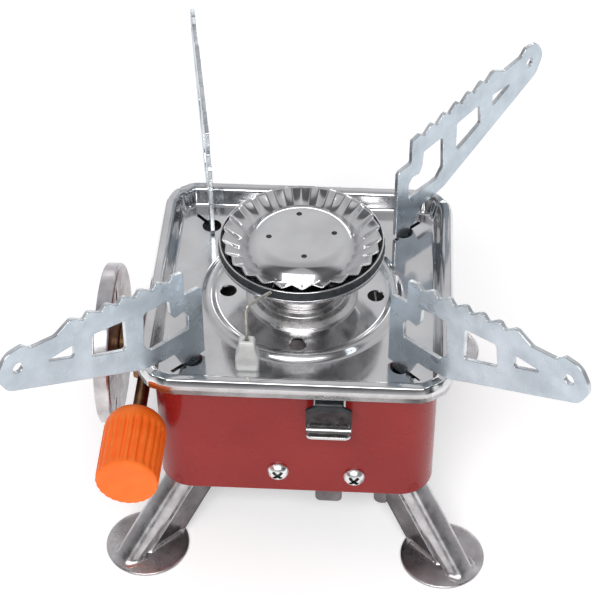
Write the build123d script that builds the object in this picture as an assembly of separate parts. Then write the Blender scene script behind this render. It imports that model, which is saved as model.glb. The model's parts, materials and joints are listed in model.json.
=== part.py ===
from build123d import *
import os
from math import cos, radians, sin, sqrt

# A folding gas camping stove. Millimetres, +Z up, the front (igniter side) faces -Y.
# The origin is on the ground, below the burner's axis. Heights named *_UP are measured
# from the drip tray's floor, and every other height from the ground.

# ---- driving dimensions ------------------------------------------------------------
FLOOR_Z = 61.5              # drip tray floor above the ground

TRAY_HALF = 42.5
TRAY_CORNER = 10.5
TRAY_SHEET = 0.6
RIM_UP = 5.5                # top of the rolled rim
RIM_LIP_UP = 0.8            # lower edge of the rim's outer skirt
FLOOR_HALF = 35.5           # where the flat floor ends and the rim's section starts
BEAD_RADIUS = 26.2
AIR_HOLE_CIRCLE = 20.85
AIR_HOLE_RADIUS = 2.4
SLOT_WIDTH = 1.6

BODY_HALF = 38.5
BODY_CORNER = 9.5
BODY_SHEET = 0.8
BODY_BOTTOM = 21.5

PIVOT_XY = 28.15            # pan support pivots, on each diagonal
PIVOT_HOLE = 2.8
PIVOT_RADIUS = 2.0
RUNNING = 0.05              # radial clearance of every turning or sliding fit
ARM_SHEET = 1.2
ARM_NECK = 4.8
ARM_TANG = 3.2
TANG_UP = -8.0
NECK_UP = -1.1              # the blade narrows to its tang here
BUSH_RADIUS = 4.0
HEAD_GAP = 0.3              # between a pivot's head and the web above it
ARM_ANGLES = {"front_left": 226.0, "front_right": 318.6, "rear_right": 49.0, "rear_left": 100.0}
CORNERS = {"front_left": 225.0, "front_right": 315.0, "rear_right": 45.0, "rear_left": 135.0}
PIVOT_REACH = PIVOT_XY * sqrt(2)

HINGE_REACH = 40.5          # leg hinge pin, out along the diagonal
HINGE_Z = 25.0
LEG_HALF = 4.0
LEG_SHEET = 0.9
LEG_BACK = 70.5             # reach plus height along the leg's back
LEG_EDGE = 51.0             # reach plus height along the leg's open edge
FOOT_REACH = 59.9
FOOT_RADIUS = 12.0
FOOT_SHEET = 1.0
LEG_PIN = 1.25
EAR_INNER = 4.5
EAR_SHEET = 1.0
WEB_Z = 46.0                # underside of the corner bracket's web

RING_RADIUS = 23.0
RING_LOW_UP = 17.8
RING_HIGH_UP = 20.2
CUP_SHEET = 0.5
NECK_RADIUS = 10.9
SPIDER_UP = 15.8            # the cross inside the bowl, and how far its bars reach
SPIDER_REACH = 20.4

VALVE_Y = -3.0
PLATE_FACE_X = -52.3
PLATE_RADIUS = 23.2
PLATE_SHEET = 0.8
PLATE_UP = -19.2
CUP_DEPTH = 4.5
INLET_RADIUS = 2.6
SEAL_RADIUS = 4.6
SEAL_SINK = 0.6             # how deep the seal sits in the valve's boss
SPINDLE_X = -43.2
SPINDLE_UP = -16.0
SPINDLE_RADIUS = 1.95
KNOB_RADIUS = 8.6
KNOB_END_Y = -59.5
KNOB_BACK_Y = -35.5
KNOB_FLUTES = 24

LEVER_X = 9.5
LEVER_WIDTH = 12.3
LEVER_NECK = 7.5
LEVER_SHEET = 0.9
LEVER_TOP = -1.9            # upper side of the neck
LEVER_LOW = -12.4           # underside of the turned-out lip
LEVER_FACE_Y = -40.9        # inner side of the finger plate
LEVER_PIN_Y = -20.5
LEVER_PIN_UP = -15.0
PLUNGER_Y = -30.2
PLUNGER_RADIUS = 2.5
SCREWS = [(-4.6, -32.0), (16.6, -33.1)]
ELECTRODE = (-13.0, -29.8)


def up(height):
    """A height above the tray floor, as a height above the ground."""
    return FLOOR_Z + height


def outline(points):
    """A closed face from corners (x, y, radius)."""
    corners = [(x, y) for x, y, _ in points]
    return make_face(FilletPolyline(*corners, radius=[r for _, _, r in points], close=True))


def rod(start, end, radius):
    """A straight cylinder between two points."""
    start = Vector(*start)
    along = Vector(*end) - start
    return extrude(Plane(start, z_dir=along) * Circle(radius), amount=along.length)


def block(low, high):
    """A box between two opposite corners."""
    size = [b - a for a, b in zip(low, high)]
    middle = [(a + b) / 2 for a, b in zip(low, high)]
    return Pos(*middle) * Box(*size)


def turned(points):
    """A solid of revolution about Z from (radius, height) corners."""
    return revolve(Plane.XZ * make_face(Polyline(*points, close=True)), Axis.Z)


def turned_soft(points):
    """A solid of revolution about Z from (radius, height, fillet) corners."""
    return revolve(Plane.XZ * outline(points), Axis.Z)


def profile_plate(points, y_low, y_high):
    """A plate from (x, z, fillet) corners between two values of Y."""
    face = Plane.XZ * outline(points)
    return Pos(0, y_high, 0) * extrude(face, amount=y_high - y_low)


def on_corner(shape, corner):
    """Turn a shape made along +X to a corner's diagonal."""
    return Rot(0, 0, CORNERS[corner]) * shape


# ---- tray --------------------------------------------------------------------------
def rim_section():
    """The rolled rim, from the flat floor out to the skirt, in the XZ plane."""
    crest = TRAY_HALF
    upper = FilletPolyline(
        (FLOOR_HALF, up(0)), (37.4, up(0)), (39.0, up(RIM_UP)), (crest, up(RIM_UP)),
        (crest, up(RIM_LIP_UP)), radius=[2.0, 1.6, 1.9],
    )
    inner = crest - TRAY_SHEET
    below = up(RIM_UP - TRAY_SHEET)
    lower = FilletPolyline(
        (FLOOR_HALF, up(-TRAY_SHEET)), (37.85, up(-TRAY_SHEET)), (39.5, below), (inner, below),
        (inner, up(RIM_LIP_UP)), radius=[2.2, 1.0, 1.3],
    )
    ends = [Line(upper @ 1, lower @ 1), Line(lower @ 0, upper @ 0)]
    return make_face(upper.edges() + lower.edges() + ends)


def rolled_rim():
    """The rim all round: four straight sides and four turned corners."""
    section = Plane.XZ * rim_section()
    centre = TRAY_HALF - TRAY_CORNER
    side = extrude(section, amount=centre, both=True)
    corner = revolve(Pos(0, centre, 0) * section, Axis((centre, centre, 0), (0, 0, 1)), 90)
    quarter = side + corner
    rim = quarter
    for turn in (90, 180, 270):
        rim += Rot(0, 0, turn) * quarter
    return rim


def corner_slots():
    """The round pivot hole and the narrow slot that runs out from it, at each corner."""
    hole = Pos(PIVOT_REACH, 0, up(0)) * Cylinder(PIVOT_HOLE, 4)
    slot = block((PIVOT_REACH, -SLOT_WIDTH / 2, up(-2)), (PIVOT_REACH + 7.5, SLOT_WIDTH / 2, up(2)))
    keyhole = hole + slot
    return [on_corner(keyhole, corner) for corner in CORNERS]


def air_holes(radius, low, high):
    """Four holes through a level plate, in front, behind and at the sides."""
    hole = Pos(AIR_HOLE_CIRCLE, 0, (low + high) / 2) * Cylinder(radius, high - low)
    return [Rot(0, 0, turn) * hole for turn in (0, 90, 180, 270)]


def electrode_hole(gap):
    """The rectangular hole that the ceramic's foot passes through."""
    x, y = ELECTRODE
    return block((x - 2.2 - gap, y - 1.7 - gap, up(-3)), (x + 2.2 + gap, y + 1.7 + gap, up(1)))


def top_tray():
    side = 2 * FLOOR_HALF
    corner = TRAY_CORNER - (TRAY_HALF - FLOOR_HALF)
    floor = extrude(Pos(0, 0, up(-TRAY_SHEET)) * RectangleRounded(side, side, corner), TRAY_SHEET)
    tray = floor + rolled_rim()
    tray += Pos(0, 0, up(-0.8)) * Torus(BEAD_RADIUS, 2.4) & block((-40, -40, up(-0.3)), (40, 40, up(3)))
    tray -= Pos(0, 0, up(-0.8)) * Torus(BEAD_RADIUS, 1.8)
    tray -= Pos(0, 0, up(0)) * Cylinder(NECK_RADIUS - 2.4, 4)
    for cutter in corner_slots() + air_holes(AIR_HOLE_RADIUS, up(-2), up(2)):
        tray -= cutter
    return tray - electrode_hole(0.3)


# ---- body --------------------------------------------------------------------------
def body_shell():
    top = up(-TRAY_SHEET)
    side = 2 * BODY_HALF
    inner = side - 2 * BODY_SHEET
    shell = extrude(Pos(0, 0, BODY_BOTTOM) * RectangleRounded(side, side, BODY_CORNER), top - BODY_BOTTOM)
    hollow = RectangleRounded(inner, inner, BODY_CORNER - BODY_SHEET)
    shell -= extrude(Pos(0, 0, BODY_BOTTOM) * hollow, top - BODY_SHEET - BODY_BOTTOM)
    shell -= Pos(0, 0, top) * Cylinder(NECK_RADIUS - 2.4, 6)
    for cutter in air_holes(3.6, up(-4), up(0)):
        shell -= cutter
    for cutter in corner_slots() + [electrode_hole(0.3)]:
        shell -= cutter
    neck = LEVER_NECK / 2 + 0.6
    shell -= block((LEVER_X - neck, -BODY_HALF - 1, up(-7.8)), (LEVER_X + neck, -36, up(-1.4)))
    for x, height in SCREWS:
        shell -= rod((x, -BODY_HALF - 1, up(height)), (x, -36, up(height)), 1.6)
    return shell - rod((-BODY_HALF - 1, VALVE_Y, up(PLATE_UP)), (-36, VALVE_Y, up(PLATE_UP)), 3.3)


def corner_bracket():
    """Two ears for the leg's pin, a web for the arm's bush, and a tab on the body wall."""
    ear = profile_plate(
        [(36.6, 22.3, 2.5), (44.4, 22.3, 2.5), (46.5, 30, 1), (46.5, WEB_Z + EAR_SHEET, 0),
         (33, WEB_Z + EAR_SHEET, 0), (33, 42, 1)],
        EAR_INNER, EAR_INNER + EAR_SHEET,
    )
    outer = EAR_INNER + EAR_SHEET
    bracket = ear + mirror(ear, Plane.XZ)
    bracket += block((33, -outer, WEB_Z), (46.5, outer, WEB_Z + EAR_SHEET))
    wall = BODY_HALF - BODY_SHEET
    tab = profile_plate(
        [(22.2, up(-44.9), 2.4), (26.0, up(-44.9), 0.8), (26.0, up(-40), 0.5), (28.8, up(-36), 1),
         (28.8, up(-22), 1), (22.2, up(-22), 1)],
        -wall, -wall + EAR_SHEET,
    )
    bracket += Rot(0, 0, 45) * tab
    bracket -= Pos(PIVOT_REACH, 0, WEB_Z) * Cylinder(PIVOT_RADIUS + RUNNING, 4)
    return bracket - rod((HINGE_REACH, -8, HINGE_Z), (HINGE_REACH, 8, HINGE_Z), LEG_PIN)


# ---- pan supports ------------------------------------------------------------------
def arm_outline():
    """The blade in its own plane: reach out from the pivot, height above the tray floor."""
    tang = ARM_TANG / 2
    neck = ARM_NECK / 2
    points = [
        (-4.0, 1.0, 0.5), (-neck, 1.0, 0), (-neck, NECK_UP, 0), (-tang, NECK_UP, 0), (-tang, TANG_UP, 0.4),
        (tang, TANG_UP, 0.4), (tang, NECK_UP, 0), (neck, NECK_UP, 0), (neck, 1.0, 0), (3.8, 1.0, 0.5),
        (6.2, 6.4, 1.0), (10.0, 6.4, 2.0), (17.1, 7.8, 4.0), (57.6, 27.6, 5.0), (60.4, 33.6, 4.6),
        (56.6, 39.2, 4.2), (51.6, 39.4, 1.0), (49.6, 37.2, 2.0), (42.0, 36.2, 2.5),
    ]
    teeth, first, pitch, rise = 7, (4.8, 33.2), 5.36, 0.883
    for tooth in range(teeth - 1, -1, -1):
        s = first[0] + pitch * tooth
        z = first[1] + rise * tooth
        if tooth < teeth - 1:
            points.append((s + 1.9, z - 1.5, 0.8))
        points.append((s + 0.4, z + 0.1, 0.5))
        points.append((s - 0.7, z - 0.1, 0.5))
    points += [(1.7, 32.6, 0.6), (1.7, 24.9, 0.6), (-3.2, 24.4, 0.4), (-4.0, 23.6, 0.4)]
    return outline(points)


def arm_windows():
    """The three openings pressed out of the blade, and the hole near its tip."""
    outer = outline([(37.1, 30.2, 0.5), (46.2, 30.2, 0.4), (37.3, 26.0, 0.5)])
    middle = outline([(21.3, 28.2, 0.6), (31.4, 29.8, 1.2), (32.3, 22.7, 1.0), (21.5, 18.0, 0.8)])
    inner = outline([
        (6.9, 26.0, 0.6), (15.2, 27.0, 1.4), (16.0, 15.6, 2.0), (13.6, 12.6, 1.0), (1.0, 12.2, 0.8),
        (0.9, 17.6, 1.0), (2.4, 19.4, 0.8), (5.4, 19.0, 0.6), (6.6, 21.3, 0.6),
    ])
    return [outer, middle, inner, Pos(53.75, 33.3) * Circle(1.5)]


def support_arm():
    face = arm_outline()
    for window in arm_windows():
        face -= window
    blade = extrude(Plane.XZ * face, amount=ARM_SHEET / 2, both=True)
    return Pos(0, 0, FLOOR_Z) * blade


def arm_pivot():
    """The headed pin below the blade, slotted for its tang."""
    pin = rod((0, 0, WEB_Z - HEAD_GAP), (0, 0, up(NECK_UP - 0.3)), PIVOT_RADIUS)
    pin += rod((0, 0, WEB_Z - HEAD_GAP - 1.2), (0, 0, WEB_Z - HEAD_GAP), 3.2)
    half = ARM_TANG / 2
    return pin - block((-half, -ARM_SHEET / 2, up(TANG_UP)), (half, ARM_SHEET / 2, up(0)))


def arm_bush():
    low = WEB_Z + EAR_SHEET
    high = up(-TRAY_SHEET - BODY_SHEET)
    bush = Pos(0, 0, (low + high) / 2) * Cylinder(BUSH_RADIUS, high - low)
    return bush - Pos(0, 0, (low + high) / 2) * Cylinder(PIVOT_RADIUS + RUNNING, high - low + 2)


# ---- legs --------------------------------------------------------------------------
def leg_wall():
    """One side wall of the folded channel, rounded about the hinge pin."""
    step = 3.5 / sqrt(2)
    points = [
        (LEG_BACK - FOOT_SHEET, FOOT_SHEET, 0), (HINGE_REACH + 2 * step, HINGE_Z, 2.4),
        (HINGE_REACH, HINGE_Z + 2 * step, 2.4), (HINGE_REACH - 2.5 * step, HINGE_Z + step, 1),
        (27.6, LEG_EDGE - 27.6, 2), (LEG_EDGE - FOOT_SHEET, FOOT_SHEET, 0),
    ]
    return profile_plate(points, LEG_HALF - LEG_SHEET, LEG_HALF)


def leg_back():
    """The rounded back of the channel, from below the hinge down to the foot."""
    low = Vector(LEG_BACK - FOOT_SHEET, 0, FOOT_SHEET)
    down = Vector(1, 0, -1).normalized()
    plane = Plane(low - down * 33.5, x_dir=(0, 1, 0), z_dir=down)
    crown = 1.3
    upper = ThreePointArc((-LEG_HALF, 0), (0, crown), (LEG_HALF, 0))
    lower = ThreePointArc((LEG_HALF, -LEG_SHEET), (0, crown - LEG_SHEET), (-LEG_HALF, -LEG_SHEET))
    ends = [Line(upper @ 1, lower @ 0), Line(lower @ 1, upper @ 0)]
    section = plane * make_face([upper, lower] + ends)
    strip = Pos(-crown / sqrt(2), 0, -crown / sqrt(2)) * extrude(section, amount=40)
    return strip & block((30, -10, FOOT_SHEET / 2), (75, 10, 40))


def leg():
    """A stamped channel with its foot disc, hinged at the top."""
    wall = leg_wall()
    made = wall + mirror(wall, Plane.XZ) + leg_back()
    disc = Pos(FOOT_REACH, 0, FOOT_SHEET / 2) * Cylinder(FOOT_RADIUS, FOOT_SHEET)
    made += fillet(disc.edges(), 0.35)
    return made - rod((HINGE_REACH, -8, HINGE_Z), (HINGE_REACH, 8, HINGE_Z), LEG_PIN + RUNNING)


def leg_pin():
    outer = EAR_INNER + EAR_SHEET
    pin = rod((HINGE_REACH, -outer, HINGE_Z), (HINGE_REACH, outer, HINGE_Z), LEG_PIN)
    for side in (-1, 1):
        pin += rod((HINGE_REACH, side * outer, HINGE_Z), (HINGE_REACH, side * (outer + 0.7), HINGE_Z), 2.0)
    return pin


# ---- burner ------------------------------------------------------------------------
def burner_cup():
    """The spun neck and bowl under the flame ring."""
    t = CUP_SHEET
    return turned_soft([
        (NECK_RADIUS, up(1.6), 0), (NECK_RADIUS, up(8.2), 1.0), (16.2, up(10.4), 1.2),
        (17.8, up(13.6), 1.5), (RING_RADIUS, up(16.6), 1.0), (RING_RADIUS, up(RING_LOW_UP), 0),
        (RING_RADIUS - t, up(RING_LOW_UP), 0), (RING_RADIUS - t, up(16.9), 0.5),
        (17.4, up(14.0), 1.5), (15.8, up(10.8), 0.8), (NECK_RADIUS - t, up(8.6), 0.8),
        (NECK_RADIUS - t, up(1.6), 0),
    ])


def burner_collar():
    """The flared foot that holds the neck down on the tray."""
    return turned_soft([
        (8.6, up(0), 0), (15.8, up(0), 0.2), (15.8, up(0.8), 0.3), (14.6, up(1.6), 0.8),
        (12.4, up(1.8), 0.4), (NECK_RADIUS + 0.7, up(3.4), 0.2), (NECK_RADIUS, up(3.4), 0),
        (NECK_RADIUS, up(1.6), 0), (8.6, up(1.6), 0),
    ])


def flame_ring():
    """The dark corrugated band that the flame comes out of."""
    return turned([
        (RING_RADIUS, up(RING_LOW_UP)), (RING_RADIUS - 0.5, up(RING_HIGH_UP)),
        (RING_RADIUS - 1.1, up(RING_HIGH_UP)), (RING_RADIUS - 1.1, up(RING_LOW_UP)),
    ])


def ring_band():
    """The bright wire-thin hoop on top of the flame ring."""
    return turned_soft([
        (RING_RADIUS - 0.3, up(RING_HIGH_UP), 0), (RING_RADIUS - 0.3, up(RING_HIGH_UP + 0.4), 0.15),
        (RING_RADIUS - 1.1, up(RING_HIGH_UP + 0.4), 0.15), (RING_RADIUS - 1.1, up(RING_HIGH_UP), 0),
    ])


def burner_cap():
    """The pressed cap: a flat disc, a sloping shoulder and an upturned edge."""
    t = CUP_SHEET
    cap = turned_soft([
        (0, up(22.2), 0), (13.7, up(22.2), 1.0), (16.9, up(17.9), 0.6), (21.6, up(21.2), 0.2),
        (21.6, up(21.2 - t), 0.2), (16.9, up(17.9 - t), 1.0), (13.4, up(22.2 - t), 1.0),
        (0, up(22.2 - t), 0),
    ])
    for turn in (-2, 88, 178, 268):
        cap -= Rot(0, 0, turn) * Pos(8.8, 0, up(22)) * Cylinder(0.75, 4)
    return cap + rod((0, 0, up(SPIDER_UP - 2)), (0, 0, up(22)), 2.2)


def cap_spider():
    """The cross inside the head that carries the cap's post and holds the flame ring."""
    bar = block((-SPIDER_REACH, -1.5, up(SPIDER_UP)), (SPIDER_REACH, 1.5, up(SPIDER_UP + 0.6)))
    spider = bar + Rot(0, 0, 90) * bar + Pos(0, 0, up(SPIDER_UP)) * Cylinder(4, 2)
    return spider - Pos(0, 0, up(SPIDER_UP)) * Cylinder(2.2, 8)


def mixing_tube():
    low, high, outer, inner = up(-20), up(1.6), 8.2, 7.4
    tube = Pos(0, 0, (low + high) / 2) * Cylinder(outer, high - low)
    tube -= Pos(0, 0, (low + high) / 2) * Cylinder(inner, high - low + 2)
    for turn in (45, 135):
        tube -= Rot(0, 0, turn) * rod((-12, 0, up(-8)), (12, 0, up(-8)), 2.4)
    return tube


def lock_nut():
    """The hexagon nut that clamps the burner, tray and body together."""
    high = up(-TRAY_SHEET - BODY_SHEET)
    nut = extrude(Pos(0, 0, high - 3) * RegularPolygon(11.5, 6, major_radius=True), 3)
    return nut - Pos(0, 0, high) * Cylinder(8.2, 10)


def jet_block():
    """The brass block at the foot of the mixing tube, with its feed pipe."""
    made = block((-5, -5, up(-24)), (5, 5, up(-20)))
    made += Pos(0, 0, up(-18)) * Cylinder(7.4, 4)
    made += rod((-BODY_HALF + 3, VALVE_Y, up(-22)), (-4, VALVE_Y, up(-22)), 1.6)
    return made - Pos(0, 0, up(-17)) * Cylinder(1.5, 4)


def gas_jet():
    jet = extrude(Pos(0, 0, up(-16)) * RegularPolygon(2.6, 6, major_radius=True), 2.5)
    jet += Pos(0, 0, up(-17.2)) * Cylinder(1.5, 2.4) + Pos(0, 0, up(-12.5)) * Cone(1.8, 0.9, 2)
    return jet - Pos(0, 0, up(-14)) * Cylinder(0.3, 12)


# ---- valve, knob and canister plate ------------------------------------------------
def valve_body():
    """Brass body: canister boss, spindle barrel and the outlet through the body wall."""
    height = up(PLATE_UP)
    made = rod((PLATE_FACE_X, VALVE_Y, height), (-46.5, VALVE_Y, height), 6.0)
    made += block((-47.5, -8, up(-23.5)), (-40.5, 2, up(-11.8)))
    made += rod((SPINDLE_X, -14, up(SPINDLE_UP)), (SPINDLE_X, 3, up(SPINDLE_UP)), 4.3)
    made += rod((-42, VALVE_Y, height), (-BODY_HALF + 3, VALVE_Y, height), 3.0)
    made += block((-BODY_HALF + 1.2, -5, up(-24)), (-BODY_HALF + 3, -1, up(PLATE_UP)))
    made -= rod((PLATE_FACE_X, VALVE_Y, height), (-49.5, VALVE_Y, height), INLET_RADIUS)
    made -= rod((PLATE_FACE_X, VALVE_Y, height), (PLATE_FACE_X + SEAL_SINK, VALVE_Y, height), SEAL_RADIUS)
    bore = SPINDLE_RADIUS + RUNNING
    return made - rod((SPINDLE_X, -15, up(SPINDLE_UP)), (SPINDLE_X, -9, up(SPINDLE_UP)), bore)


def gland_nut():
    start = Plane((SPINDLE_X, -14, up(SPINDLE_UP)), z_dir=(0, -1, 0))
    nut = extrude(start * RegularPolygon(4.1, 6, major_radius=True), 4)
    return nut - extrude(start * Circle(SPINDLE_RADIUS + RUNNING), 4)


def valve_spindle():
    return rod((SPINDLE_X, -9.5, up(SPINDLE_UP)), (SPINDLE_X, -47, up(SPINDLE_UP)), SPINDLE_RADIUS)


def control_knob():
    """A domed, fluted knob, turned about Z and then laid along -Y."""
    length = KNOB_BACK_Y - KNOB_END_Y
    knob = turned_soft([
        (0, 0, 0), (5.2, 0, 1.6), (KNOB_RADIUS, 4.6, 5.0), (KNOB_RADIUS, length, 0.5), (0, length, 0),
    ])
    for flute in range(KNOB_FLUTES):
        angle = 360 * flute / KNOB_FLUTES
        groove = block((KNOB_RADIUS - 0.45, -0.55, 9.2), (KNOB_RADIUS + 1, 0.55, length - 1.4))
        knob -= Rot(0, 0, angle) * groove
    depth = KNOB_BACK_Y + 47
    knob -= Pos(0, 0, depth / 2) * Cylinder(SPINDLE_RADIUS, depth)
    return Pos(SPINDLE_X, KNOB_BACK_Y, up(SPINDLE_UP)) * Rot(90, 0, 0) * knob


def canister_plate():
    """A shallow pressed cup, open away from the body, that the canister's collar enters."""
    axis = Plane((PLATE_FACE_X, VALVE_Y, up(PLATE_UP)), z_dir=(-1, 0, 0))
    plate = extrude(axis * Circle(PLATE_RADIUS), CUP_DEPTH)
    plate = fillet(plate.edges().sort_by(Axis.X)[-1], 1.0)
    plate -= extrude(axis.offset(PLATE_SHEET) * Circle(PLATE_RADIUS - PLATE_SHEET), CUP_DEPTH)
    plate -= extrude(axis * Circle(SEAL_RADIUS), 2)
    slit = block((-PLATE_SHEET - 1, -0.6, 16.2), (1, 0.6, 20.8))
    for angle in (0, 120, 240):
        plate -= Pos(PLATE_FACE_X, VALVE_Y, up(PLATE_UP)) * Rot(angle, 0, 0) * slit
    return plate


def canister_seal():
    """The rubber washer around the gas inlet, sunk in the boss until it is flush with the plate."""
    axis = Plane((PLATE_FACE_X + SEAL_SINK, VALVE_Y, up(PLATE_UP)), z_dir=(-1, 0, 0))
    washer = Circle(SEAL_RADIUS) - Circle(INLET_RADIUS)
    return extrude(axis * washer, SEAL_SINK + PLATE_SHEET)


# ---- igniter -----------------------------------------------------------------------
def igniter_bracket():
    wall = -BODY_HALF + BODY_SHEET
    x0, x1 = LEVER_X - 3.75, LEVER_X + 3.75
    strap = profile_plate(
        [(x0, up(-44.9), 1.6), (x1, up(-44.9), 1.6), (x1, up(-36), 0), (20.2, up(-36), 1),
         (20.2, up(-29.5), 1), (x1, up(-29.5), 0), (x1, up(-19), 0), (LEVER_X + 5.6, up(-19), 0.5),
         (LEVER_X + 5.6, up(-12), 0.5), (LEVER_X - 5.6, up(-12), 0.5), (LEVER_X - 5.6, up(-19), 0.5),
         (x0, up(-19), 0), (x0, up(-29.5), 0), (-8.2, up(-29.5), 1), (-8.2, up(-36), 1),
         (x0, up(-36), 0)],
        wall, wall + 1,
    )
    strap += block((x0, wall + 1, up(-39.6)), (x1, -26, up(-38.6)))
    for side in (-1, 1):
        near, far = sorted((LEVER_X + side * 4.7, LEVER_X + side * 5.6))
        strap += block((near, wall + 1, up(-18.5)), (far, -18.2, up(-12.5)))
    strap -= rod((0, LEVER_PIN_Y, up(LEVER_PIN_UP)), (20, LEVER_PIN_Y, up(LEVER_PIN_UP)), 1.0)
    for x, height in SCREWS:
        strap -= rod((x, wall - 1, up(height)), (x, wall + 2, up(height)), 1.5)
    return strap


def igniter_lever():
    """Finger plate outside the front wall, neck through the slot and a tail to the pin."""
    t = LEVER_SHEET
    top, low, pin_z = up(LEVER_TOP), up(LEVER_LOW), up(LEVER_PIN_UP)
    half, neck, tail = LEVER_WIDTH / 2, LEVER_NECK / 2, 4.3
    wide, narrow = up(LEVER_TOP - 2.3), up(LEVER_TOP - 0.9)
    made = block((LEVER_X - neck, LEVER_FACE_Y, top - t), (LEVER_X + neck, LEVER_PIN_Y - 0.5, top))
    made += block((LEVER_X - neck, LEVER_PIN_Y - 0.5, pin_z), (LEVER_X + neck, LEVER_PIN_Y + 0.5, top))
    made += rod((LEVER_X - tail, LEVER_PIN_Y, pin_z), (LEVER_X + tail, LEVER_PIN_Y, pin_z), 2.0)
    face = profile_plate(
        [(LEVER_X - half, low, 0), (LEVER_X + half, low, 0), (LEVER_X + half, wide, 1.2),
         (LEVER_X + neck, narrow, 0.6), (LEVER_X + neck, top, 0), (LEVER_X - neck, top, 0),
         (LEVER_X - neck, narrow, 0.6), (LEVER_X - half, wide, 1.2)],
        LEVER_FACE_Y - t, LEVER_FACE_Y,
    )
    lip = extrude(Pos(LEVER_X, LEVER_FACE_Y - 2.0, low) * RectangleRounded(LEVER_WIDTH, 4.0, 1.2), t)
    lip += block((LEVER_X - half, LEVER_FACE_Y - t, low), (LEVER_X + half, LEVER_FACE_Y, low + t))
    made += face + lip
    return made - rod((0, LEVER_PIN_Y, pin_z), (20, LEVER_PIN_Y, pin_z), 1.0 + RUNNING)


def lever_pin():
    return rod((LEVER_X - 6.2, LEVER_PIN_Y, up(LEVER_PIN_UP)), (LEVER_X + 6.2, LEVER_PIN_Y, up(LEVER_PIN_UP)), 1.0)


def piezo_housing():
    half = 3.6
    housing = block((LEVER_X - half, PLUNGER_Y - half, up(-38.6)), (LEVER_X + half, PLUNGER_Y + half, up(-10.5)))
    housing = fillet(housing.edges().filter_by(Axis.Z), 0.8)
    depth = 8.5
    return housing - Pos(LEVER_X, PLUNGER_Y, up(-10.5 - depth / 2)) * Cylinder(PLUNGER_RADIUS + RUNNING, depth)


def piezo_plunger():
    low, high = up(-13.6), up(-3.3)
    plunger = Pos(LEVER_X, PLUNGER_Y, (low + high) / 2) * Cylinder(PLUNGER_RADIUS, high - low)
    return fillet(plunger.edges().sort_by(Axis.Z)[-1], 1.0)


def plunger_spring():
    wire, mean, low, high = 0.2, 1.9, up(-18.7), up(-13.9)
    path = Helix(pitch=1.2, height=high - low, radius=mean)
    coil = sweep(Plane(path @ 0, z_dir=path % 0) * Circle(wire), path=path)
    return Pos(LEVER_X, PLUNGER_Y, low) * coil


def front_screws():
    """Two pan-head cross-recess screws through the front wall."""
    screws = []
    for x, height in SCREWS:
        head = revolve(Plane.XZ * make_face([
            Line((0, 0), (3.0, 0)), Line((3.0, 0), (3.0, 0.5)),
            ThreePointArc((3.0, 0.5), (1.9, 1.75), (0, 2.2)), Line((0, 2.2), (0, 0)),
        ]), Axis.Z)
        for turn in (45, 135):
            head -= Rot(0, 0, turn) * Pos(0, 0, 1.9) * Box(3.4, 0.8, 1.6)
        head += Pos(0, 0, -2) * Cylinder(1.5, 4)
        screws.append(Pos(x, -BODY_HALF, up(height)) * Rot(90, 0, 0) * head)
    return Compound(screws)


def electrode_insulator():
    x, y = ELECTRODE
    made = extrude(Pos(x, y, up(0)) * RectangleRounded(6.3, 4.6, 0.9), 5.0)
    made += extrude(Pos(x, y, up(5.0)) * RectangleRounded(4.5, 3.6, 0.9), 4.9)
    made = fillet(made.edges().sort_by(Axis.Z)[-1], 0.4)
    made += block((x - 2.2, y - 1.7, up(-5)), (x + 2.2, y + 1.7, up(0)))
    return made - Pos(x, y, up(4)) * Cylinder(0.45, 22)


def electrode_wire():
    x, y = ELECTRODE
    path = FilletPolyline((x, y, up(-3.5)), (x, y, up(21.6)), (-6.9, -23.0, up(20.9)), radius=1.5)
    return sweep(Plane(path @ 0, z_dir=path % 0) * Circle(0.45), path=path)


def ignition_lead():
    """The insulated lead from the striker's side up to the electrode's foot."""
    x, y = ELECTRODE
    path = FilletPolyline(
        (LEVER_X - 3.6, PLUNGER_Y, up(-34)), (x, PLUNGER_Y, up(-30)), (x, y, up(-5)), radius=6,
    )
    return sweep(Plane(path @ 0, z_dir=path % 0) * Circle(0.8), path=path)


# ---- all sub-parts -----------------------------------------------------------------
def parts():
    nodes = {
        "top_tray": top_tray(), "body_shell": body_shell(), "burner_cup": burner_cup(),
        "burner_collar": burner_collar(), "flame_ring": flame_ring(), "ring_band": ring_band(),
        "burner_cap": burner_cap(), "cap_spider": cap_spider(), "mixing_tube": mixing_tube(),
        "lock_nut": lock_nut(), "jet_block": jet_block(), "gas_jet": gas_jet(),
        "valve_body": valve_body(), "gland_nut": gland_nut(), "valve_spindle": valve_spindle(),
        "control_knob": control_knob(), "canister_plate": canister_plate(),
        "canister_seal": canister_seal(), "igniter_bracket": igniter_bracket(),
        "igniter_lever": igniter_lever(), "lever_pin": lever_pin(), "piezo_housing": piezo_housing(),
        "piezo_plunger": piezo_plunger(), "plunger_spring": plunger_spring(),
        "front_screws": front_screws(), "electrode_insulator": electrode_insulator(),
        "electrode_wire": electrode_wire(), "ignition_lead": ignition_lead(),
    }
    for corner, angle in CORNERS.items():
        spot = Rot(0, 0, angle) * Pos(PIVOT_REACH, 0, 0)
        turn = Rot(0, 0, ARM_ANGLES[corner] - angle)
        nodes[f"arm_{corner}"] = spot * turn * support_arm()
        nodes[f"arm_pivot_{corner}"] = spot * turn * arm_pivot()
        nodes[f"arm_bush_{corner}"] = spot * arm_bush()
        nodes[f"corner_bracket_{corner}"] = on_corner(corner_bracket(), corner)
        nodes[f"leg_{corner}"] = on_corner(leg(), corner)
        nodes[f"leg_pin_{corner}"] = on_corner(leg_pin(), corner)
    return nodes


os.makedirs("parts", exist_ok=True)
for name, shape in parts().items():
    export_step(shape, f"parts/{name}.step")
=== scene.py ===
import json
from math import atan2, cos, pi, radians, sin, sqrt, tan

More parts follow.
